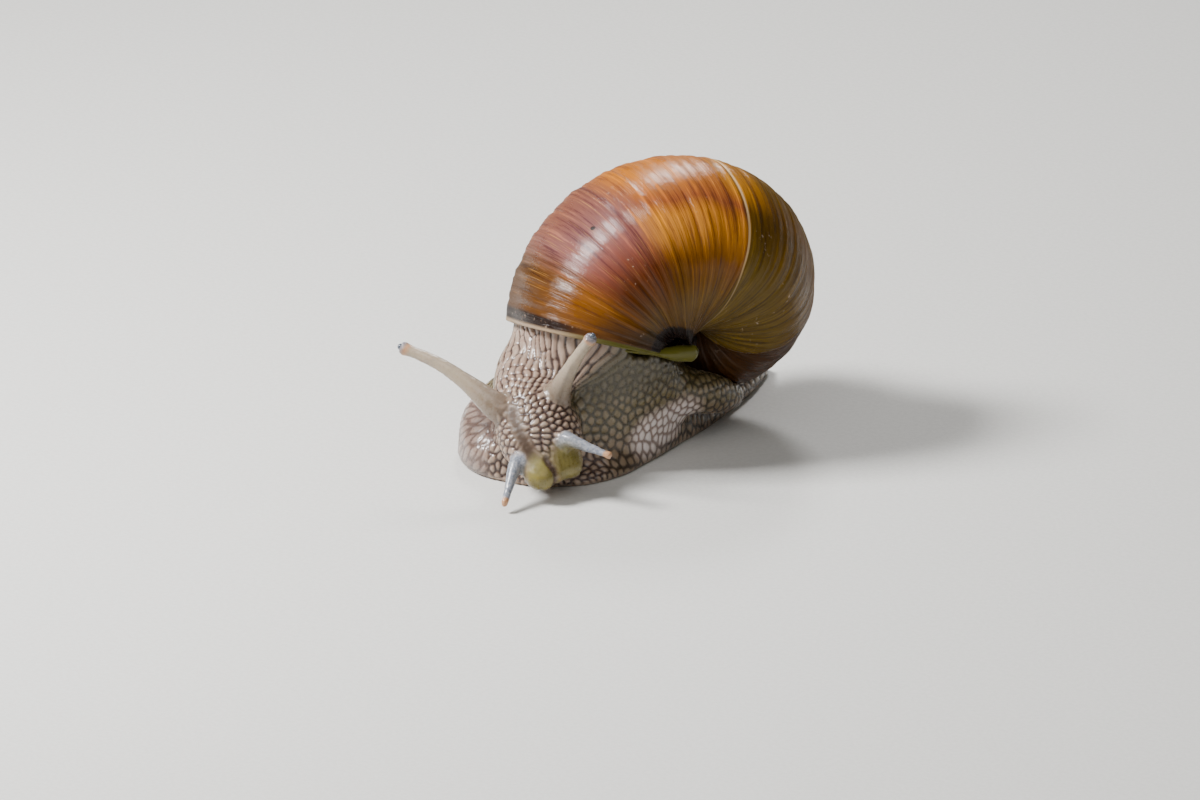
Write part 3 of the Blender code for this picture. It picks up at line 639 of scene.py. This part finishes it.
# How much each place belongs to each region, from 0 to 1
NECK_TURN, NECK_HALF = -12, 72      # degrees: the middle of the ridges, and half their width
SIDE_LEFT, SIDE_RIGHT = 40, 76      # degrees round the neck at which each flank starts
on_head = soft_step(0.78, 0.98, neck_share) * soft_step(12.0, 9.0, neck_off / MM)
on_neck = soft_step(16, 0, np.abs(neck_angle - NECK_TURN) - NECK_HALF) * (1 - on_head)
on_neck *= soft_step(1.6, 1.3, neck_share)
side_start = np.where(neck_angle > 0, SIDE_LEFT, SIDE_RIGHT)
on_side = soft_step(side_start, side_start + 24, np.abs(neck_angle)) * (1 - on_head)
on_tail = soft_step(-4, 2, (places[:, 1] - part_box("tail")[0].y) / MM)
on_hem = soft_step(4.0, 1.6, heights) * (1 - on_head)
# The front of the sole spreads out to the right of the head, pleated like a fan
FAN_MIDDLE = corner("head", 0.42, 0.80, 0.30)
FAN_EDGE = corner("head", 0.33, 0, 0).x
fan = soft_step(1.2, -1.2, (places[:, 0] - FAN_EDGE) / MM) * soft_step(9.0, 7.0, heights)
fan *= soft_step(10.0, 3.0, (places[:, 1] - FAN_MIDDLE.y) / MM)

# Bare skin: the two lips, the furrow between them, and a smooth band from feeler to mouth, which is
# darkened as a painted shadow of the upper feeler
LIP_RIGHT = corner("head", 0.89, 0.06, 0.17)
LIP_LEFT = corner("head", 0.95, 0.36, 0.24)
LIP_HEIGHT = Vector((0, 0, MM))
lip_right = soft_step(3.7, 1.2, off_path(LIP_RIGHT + LIP_HEIGHT, LIP_RIGHT))
lip_left = soft_step(4.0, 1.2, off_path(LIP_LEFT + LIP_HEIGHT, LIP_LEFT))
lips = np.maximum(lip_right, lip_left)
MOUTH = corner("head", 0.925, 0.195, 0.24)
furrow = soft_step(0.75, 0.25, off_path(MOUTH + Vector((-1.1, -0.5, 1.8)) * MM, MOUTH,
                                        MOUTH + Vector((0, 0, -2.5)) * MM))
feeler_shadow_band = soft_step(1.7, 0.3, off_path(corner("head", 0.55, 0.25, 0.77),
                                     corner("head", 0.71, 0.12, 0.54),
                                     corner("head", 0.84, 0.08, 0.29)))
feeler_shadow_band *= 1 - 0.7 * on_feeler
bare = np.clip(np.maximum(on_feeler, lips) + 0.8 * feeler_shadow_band, 0, 1)
bare = np.maximum(bare, soft_step(0.25, 0.05, heights))

# Warts: how wide, how long and which way they lie at each place
wart_width = (1.12 - 0.26 * on_head + 0.08 * fan) * MM
wart_length = 1.2 + 0.3 * on_head + 0.5 * on_hem + 1.5 * fan
outward = places - np.array(FAN_MIDDLE)
way = (np.array(neck_way) * np.maximum(on_neck, on_head)[:, None]
       + np.array((0, 0, 1.0)) * ((1 - on_neck) * (1 - on_tail) * (1 - fan))[:, None]
       + np.array((0, 1.0, 0)) * on_tail[:, None]
       + outward / np.linalg.norm(outward, axis=1)[:, None] * fan[:, None])
way -= (way * normals).sum(1)[:, None] * normals
way /= np.linalg.norm(way, axis=1)[:, None] + 1e-9

# Seeds of the warts, put down one by one where there is room, and kept in cubic bins
WART_SPACING = 0.82                 # least distance between two seeds, in wart widths
SEED_TRIES = 70000
BIN = 2.2 * MM
chance = random.Random(5)
seeds = []
room = {}
order = [i for i in range(len(places)) if places[i, 2] > 0.05 * MM and on_neck[i] < 0.9]
chance.shuffle(order)
neighbours = [(a, b, c) for a in (-1, 0, 1) for b in (-1, 0, 1) for c in (-1, 0, 1)]


def is_free(i, key):
    """Tell whether a place, whose bin is key, is far enough from every seed so far."""
    x, y, z = places[i].tolist()
    wx, wy, wz = way[i].tolist()
    least = (WART_SPACING * wart_width[i]) ** 2
    stretch = 1 - 1 / wart_length[i] ** 2
    for a, b, c in neighbours:
        for sx, sy, sz in room.get((key[0] + a, key[1] + b, key[2] + c), ()):
            dx, dy, dz = sx - x, sy - y, sz - z
            lie = dx * wx + dy * wy + dz * wz
            if dx * dx + dy * dy + dz * dz - lie * lie * stretch < least:
                return False
    return True


for i in order[:SEED_TRIES]:
    key = tuple(int(value // BIN) for value in places[i])
    if is_free(i, key):
        room.setdefault(key, []).append(tuple(places[i].tolist()))
        seeds.append(tuple(places[i].tolist()))
seed_tree = kdtree.KDTree(len(seeds))
for i, seed in enumerate(seeds):
    seed_tree.insert(seed, i)
seed_tree.balance()
# From each place, the nearest seed by the wart's own width and length, and the next one
NEAREST = 12                        # seeds that are looked at
DOME_REACH = 0.85                   # from a furrow to the top of a wart, in wart widths
nearest = np.array([[found[1] for found in seed_tree.find_n(place, NEAREST)]
                    for place in places])
gaps = np.array(seeds)[nearest] - places[:, None, :]
lie = (gaps * way[:, None, :]).sum(2)
sideways = (gaps ** 2).sum(2) - lie ** 2
gaps = np.sqrt(np.maximum(sideways, 0) + (lie / wart_length[:, None]) ** 2) / wart_width[:, None]
ranked = np.sort(gaps, axis=1)
margin = np.clip((ranked[:, 1] - ranked[:, 0]) / DOME_REACH, 0, 1)
own_seed = nearest[np.arange(len(places)), gaps.argmin(1)]
tint = np.random.default_rng(3).uniform(0, 1, len(seeds))[own_seed]

# Down the neck the warts run together into wavy ridges, which are cut across here and there
ROW_TURN = 10.5                     # degrees round the neck from row to row, at its top
# Two waves in each ridge: height in rows, radians for each millimetre down the neck, and
# degrees round the neck for each radian
ROW_WAVES = ((0.24, 0.9, 23), (0.13, 2.1, 9))
ROW_HALF_WIDTH, CUT_REACH = 0.46, 0.45      # millimetres
RIDGE_LENGTH, RIDGE_LOSS = 3.6, 2.4         # at the shell, and how much shorter at the head
DOWN_STEP = 0.1
ROW_KINDS, RIDGE_KINDS = 99, 997            # how many before the random values repeat
down = neck_share * (NECK_END - NECK_START).length / MM
rows_out = np.abs(neck_angle) / ROW_TURN
row = np.sign(neck_angle) * (rows_out + 0.03 * rows_out ** 2)
for height, rate, spread in ROW_WAVES:
    row += height * np.sin(down * rate + neck_angle / spread)
row_number = np.floor(row).astype(int)
row_width = np.clip(neck_off / MM * math.radians(ROW_TURN), 0.8, 1.2)
off_row = np.minimum(row - row_number, 1 - row + row_number) * row_width
downs = np.linspace(-6, 24, 301)
lengths = RIDGE_LENGTH - RIDGE_LOSS * soft_step(7.5, 14.5, downs)
cuts = np.cumsum(DOWN_STEP / lengths)
rng = np.random.default_rng(11)
row_kind = row_number % ROW_KINDS
cut = np.interp(down, downs, cuts) * rng.uniform(0.8, 1.3, ROW_KINDS)[row_kind]
cut += rng.uniform(0, 1, ROW_KINDS)[row_kind]
off_cut = np.minimum(cut % 1, 1 - cut % 1) * np.interp(down, downs, lengths)
off_cut = 0.25 + 0.75 * np.clip(off_cut / CUT_REACH, 0, 1)
ridge = 1 - np.hypot(1 - np.clip(off_row / ROW_HALF_WIDTH, 0, 1), 1 - off_cut)
ridge_share = soft_step(0.35, 0.65, on_neck)
margin = margin * (1 - ridge_share) + np.clip(ridge, 0, 1) * ridge_share
ridge_kind = (row_number * 31 + np.floor(cut).astype(int)) % RIDGE_KINDS
ridge_tint = rng.uniform(0, 1, RIDGE_KINDS)[ridge_kind]
tint = tint * (1 - ridge_share) + ridge_tint * ridge_share

# Each wart is a low dome, and the furrows between them are sunk into the skin.  Depths are
# in millimetres
FURROW_DEPTH, DOME_POWER = 0.20, 2.2
MOUTH_DEPTH, STRIP_DEPTH = 0.30, 0.15
LIP_RIB_DEPTH = 0.035
depth = FURROW_DEPTH + 0.08 * on_neck * (1 - on_side) + 0.12 * on_head - 0.06 * fan - 0.05 * on_side
depth *= (1 - bare)
hollows = MOUTH_DEPTH * furrow + STRIP_DEPTH * feeler_shadow_band * (1 - lips)
sink = depth * (1 - margin) ** DOME_POWER + hollows * (1 - on_feeler)
lip_ribs = np.sin(places[:, 1] / MM * 9.0 + places[:, 0] / MM * 4.0)
sink -= LIP_RIB_DEPTH * lip_ribs * lip_left * (1 - furrow)
places -= normals * (sink * MM)[:, None]
places[:, 2] = np.maximum(places[:, 2], 0)
skin.data.vertices.foreach_set("co", places.ravel())

# What the material needs to know at each place
heights = places[:, 2] / MM
wart = np.maximum(margin, bare)
# A pale patch low on the flank: painted light, a pool of light and sheen on a wet fold
lit_patch_mask = soft_step(4.2, 1.5, off_path(corner("trunk", 0.88, 0.27, 0.09),
                                         corner("trunk", 0.95, 0.48, 0.13)))
# Painted shade on the flank, olive grey with a green cast: less towards the sole, where the margin
# is paler, none on the pale patch, the head or the fan, and darkest high up by the shell's lip, as
# a painted shadow
flank_shade = on_side * (1 - 0.45 * soft_step(6.5, 3.5, heights)) * (1 - lit_patch_mask)
flank_shade *= (1 - on_head) * (1 - fan)
shade = flank_shade * soft_step(8.5, 13.0, heights)
shown = (("wart", wart), ("tint", tint), ("feeler", on_feeler), ("feeler_share", feeler_share),
         ("lower", on_lower), ("lips", lips), ("furrow", furrow), ("feeler_shadow_band", feeler_shadow_band),
         ("flank_shade", flank_shade), ("crown", on_head), ("fan", fan), ("lit_patch", lit_patch_mask), ("shade", shade))
for name, values in shown:
    layer = skin.data.attributes.new(name, "FLOAT", "POINT")
    layer.data.foreach_set("value", values.astype(np.float32))
skin.data.update()

# Colours of the warts' tops, of the furrows between them, and of the bare skin
# Of these, the side's olive grey and its furrows are painted shade, the pale patch is painted
# light, the band's brown is a painted shadow, and the lips' olive and yellow are partly painted
# shade
ROSY, BEIGE, HEAD_CREAM = (0.30, 0.200, 0.148), (0.38, 0.270, 0.205), (0.34, 0.245, 0.180)
SIDE_SHADE_OLIVE, FAN_ROSE, FAIR = (0.118, 0.088, 0.026), (0.24, 0.168, 0.140), (0.42, 0.33, 0.26)
MOTTLED, SHADED, LIT_PATCH_PALE = (0.20, 0.145, 0.11), (0.034, 0.030, 0.012), (0.74, 0.66, 0.63)
FURROW, FURROW_SIDE_SHADE = (0.048, 0.024, 0.018), (0.030, 0.021, 0.005)
FURROW_FAN, FURROW_LIT_PATCH = (0.115, 0.072, 0.058), (0.30, 0.22, 0.19)
FEELER_SHADOW_BROWN, MOUTH_BROWN = (0.052, 0.028, 0.014), (0.075, 0.045, 0.030)
LIP_OLIVE, LIP_YELLOW = (0.145, 0.118, 0.018), (0.20, 0.165, 0.032)
STALK_FOOT, STALK_CLEAR = (0.145, 0.100, 0.066), (0.35, 0.280, 0.20)
STALK_MOTTLE = (0.24, 0.19, 0.15)
LOWER_BLUE, LOWER_PALE = (0.15, 0.165, 0.205), (0.34, 0.345, 0.365)
AMBER, KNOB_BLUE = (0.46, 0.25, 0.13), (0.13, 0.145, 0.18)

flesh, tree, surface = new_material("wet_skin", 0.35)
wart, tint, feeler, share, lower, lips, furrow, feeler_shadow_band, flank_shade, crown, fan, lit_patch, shade = (
    attribute(tree, name) for name, _ in shown)
patch = grain(tree, 170.0)
speck = grain(tree, 3000.0)
mottle = grain(tree, 900.0)
# The tops of the warts: rosy beige on the neck, cream on the head, and on the side olive grey,
# which is painted shade with a green cast
top = blend(tree, span(tree, patch, 0.38, 0.62), ROSY, BEIGE)
top = blend(tree, crown, top, HEAD_CREAM)
top = blend(tree, flank_shade, top, SIDE_SHADE_OLIVE)
top = blend(tree, fan, top, FAN_ROSE)
top = blend(tree, times(tree, tint, 0.22), top, FAIR)
top = blend(tree, span(tree, mottle, 0.40, 0.70, 0.0, 0.35), top, MOTTLED)
top = blend(tree, times(tree, shade, 0.65), top, SHADED)
# Painted light on the pale patch of the flank
top = blend(tree, times(tree, lit_patch, 0.90), top, LIT_PATCH_PALE)
# The furrows: dark brown, with painted shade on the flank and painted light in the pale patch
deep = blend(tree, flank_shade, FURROW, FURROW_SIDE_SHADE)
deep = blend(tree, fan, deep, FURROW_FAN)
deep = blend(tree, times(tree, lit_patch, 0.8), deep, FURROW_LIT_PATCH)
width = calc(tree, "ADD", 0.60, times(tree, crown, 0.16))
colour = blend(tree, span(tree, wart, 0.08, width), deep, top)
# A painted shadow of the upper feeler darkens the band down to the mouth
colour = blend(tree, feeler_shadow_band, colour, FEELER_SHADOW_BROWN)
# The feelers: upper ones fawn and clear, lower ones blue-grey, all with amber ends
upper_skin = blend(tree, span(tree, share, 0.0, 0.60), STALK_FOOT, STALK_CLEAR)
upper_skin = blend(tree, span(tree, mottle, 0.42, 0.66, 0.0, 0.5), upper_skin, STALK_MOTTLE)
lower_skin = blend(tree, span(tree, speck, 0.36, 0.68), LOWER_BLUE, LOWER_PALE)
stalk = blend(tree, lower, upper_skin, lower_skin)
stalk = blend(tree, span(tree, share, 0.90, 0.95), stalk, AMBER)
knob = times(tree, span(tree, share, 0.94, 0.985, 0.0, 0.85), calc(tree, "SUBTRACT", 1.0, lower))
stalk = blend(tree, knob, stalk, KNOB_BLUE)
colour = blend(tree, feeler, colour, stalk)
# The lips' olive and yellow are partly their own colour and partly painted shade with a green cast
lip_colour_and_green_shade = blend(tree, span(tree, mottle, 0.35, 0.70), LIP_OLIVE, LIP_YELLOW)
colour = blend(tree, times(tree, lips, 0.92), colour, lip_colour_and_green_shade)
colour = blend(tree, furrow, colour, MOUTH_BROWN)
tree.links.new(colour, surface.inputs["Base Color"])
matt = calc(tree, "ADD", span(tree, speck, 0.3, 0.7, 0.42, 0.24),
            times(tree, feeler_shadow_band, 0.30))
tree.links.new(matt, surface.inputs["Roughness"])
relief = calc(tree, "ADD", times(tree, speck, 0.6), mottle)
bump = node(tree, "Bump", {"Strength": 0.45, "Distance": 0.09 * MM, "Height": relief})
tree.links.new(bump.outputs[0], surface.inputs["Normal"])
surface.inputs["Specular IOR Level"].default_value = 0.4
surface.inputs["Subsurface Weight"].default_value = 0.15
surface.inputs["Subsurface Radius"].default_value = (0.9 * MM, 0.45 * MM, 0.25 * MM)
surface.inputs["Subsurface Scale"].default_value = 1.0
tree.links.new(span(tree, feeler_shadow_band, 0.0, 0.6, 0.30, 0.03), surface.inputs["Coat Weight"])
surface.inputs["Coat Roughness"].default_value = 0.10
skin.data.materials.append(flesh)
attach(skin, "root")
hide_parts(*SKIN_NODES, *FEELER_NODES)

# ---------------------------------------------------------------- eyes
# Each upper feeler carries a simple eye at its very tip: a tiny dark bead under clear skin.

EYE_SKIN = 0.06 * MM                # of clear skin over the bead
EYE_DARK, EYE_CLOUD = (0.040, 0.048, 0.066), (0.14, 0.165, 0.21)

bead, tree, surface = new_material("eye_dark", 0.08)
cloud = blend(tree, span(tree, grain(tree, 4000.0), 0.4, 0.7), EYE_DARK, EYE_CLOUD)
tree.links.new(cloud, surface.inputs["Base Color"])
surface.inputs["Coat Weight"].default_value = 1.0
for side in ("left", "right"):
    low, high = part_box("eye_" + side)
    bm = bmesh.new()
    bmesh.ops.create_icosphere(bm, subdivisions=4, radius=(high.x - low.x) / 2 + EYE_SKIN)
    bmesh.ops.translate(bm, vec=(low + high) / 2, verts=bm.verts)
    eye = as_object("eye_bead_" + side, bm)
    eye.data.materials.append(bead)
    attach(eye, "root")
    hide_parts("eye_" + side)

# ---------------------------------------------------------------- floor, light and camera
# A plain pale table top under softboxes, seen from in front of the snail, on its left.

FLOOR_HALF_WIDTH = 1.5
FLOOR_DROP = 0.02 * MM              # keeps the floor clear of the flat of the sole
PAPER_DARK, PAPER_PALE = (0.66, 0.65, 0.62), (0.70, 0.69, 0.66)

bm = bmesh.new()
bmesh.ops.create_grid(bm, x_segments=1, y_segments=1, size=FLOOR_HALF_WIDTH)
bmesh.ops.translate(bm, vec=(0, 0, -FLOOR_DROP), verts=bm.verts)
floor = as_object("floor", bm)
paper, tree, surface = new_material("pale_floor", 0.7)
fibre = blend(tree, span(tree, grain(tree, 1500.0), 0.35, 0.65), PAPER_DARK, PAPER_PALE)
tree.links.new(fibre, surface.inputs["Base Color"])
floor.data.materials.append(paper)

studio = bpy.data.worlds.new("studio")
bpy.context.scene.world = studio
studio.use_nodes = True
background = studio.node_tree.nodes["Background"]
background.inputs["Color"].default_value = (1.0, 0.98, 0.95, 1.0)
background.inputs["Strength"].default_value = 0.11

# Where the camera is: its three axes, the point it looks at, and the width it sees there
VIEW_RIGHT = Vector((0.7880, 0.6157, 0.0))
VIEW_UP = Vector((-0.2106, 0.2695, 0.9397))
VIEW_BACK = Vector((0.5785, -0.7405, 0.3420))
TARGET = Vector((-1.68, -5.23, 6.77)) * MM
VIEW_WIDTH = 163.66 * MM
# Softboxes: name, direction by the camera's axes, width in metres, power in watts
SOFTBOXES = (("key", (-0.66, 0.66, 0.29), 0.12, 4.1),
             ("fill", (0.10, 0.60, 1.0), 0.40, 0.65),
             ("top", (0.08, 0.88, -0.46), 0.08, 0.7))
SOFTBOX_DISTANCE = 0.40

for name, aim, size, power in SOFTBOXES:
    lamp = bpy.data.lights.new(name, "AREA")
    lamp.size = size
    lamp.energy = power
    light = bpy.data.objects.new(name, lamp)
    bpy.context.scene.collection.objects.link(light)
    direction = (VIEW_RIGHT * aim[0] + VIEW_UP * aim[1] + VIEW_BACK * aim[2]).normalized()
    light.location = TARGET + direction * SOFTBOX_DISTANCE
    light.rotation_euler = direction.to_track_quat("Z", "Y").to_euler()

lens = bpy.data.cameras.new("camera")
lens.sensor_width = 36.0
lens.lens = 300.0
lens.clip_start = 0.01
camera = bpy.data.objects.new("camera", lens)
bpy.context.scene.collection.objects.link(camera)
reach = VIEW_WIDTH * lens.lens / lens.sensor_width
camera.matrix_world = Matrix.Translation(TARGET + VIEW_BACK * reach) @ Matrix(
    (VIEW_RIGHT, VIEW_UP, VIEW_BACK)).transposed().to_4x4()
bpy.context.scene.camera = camera
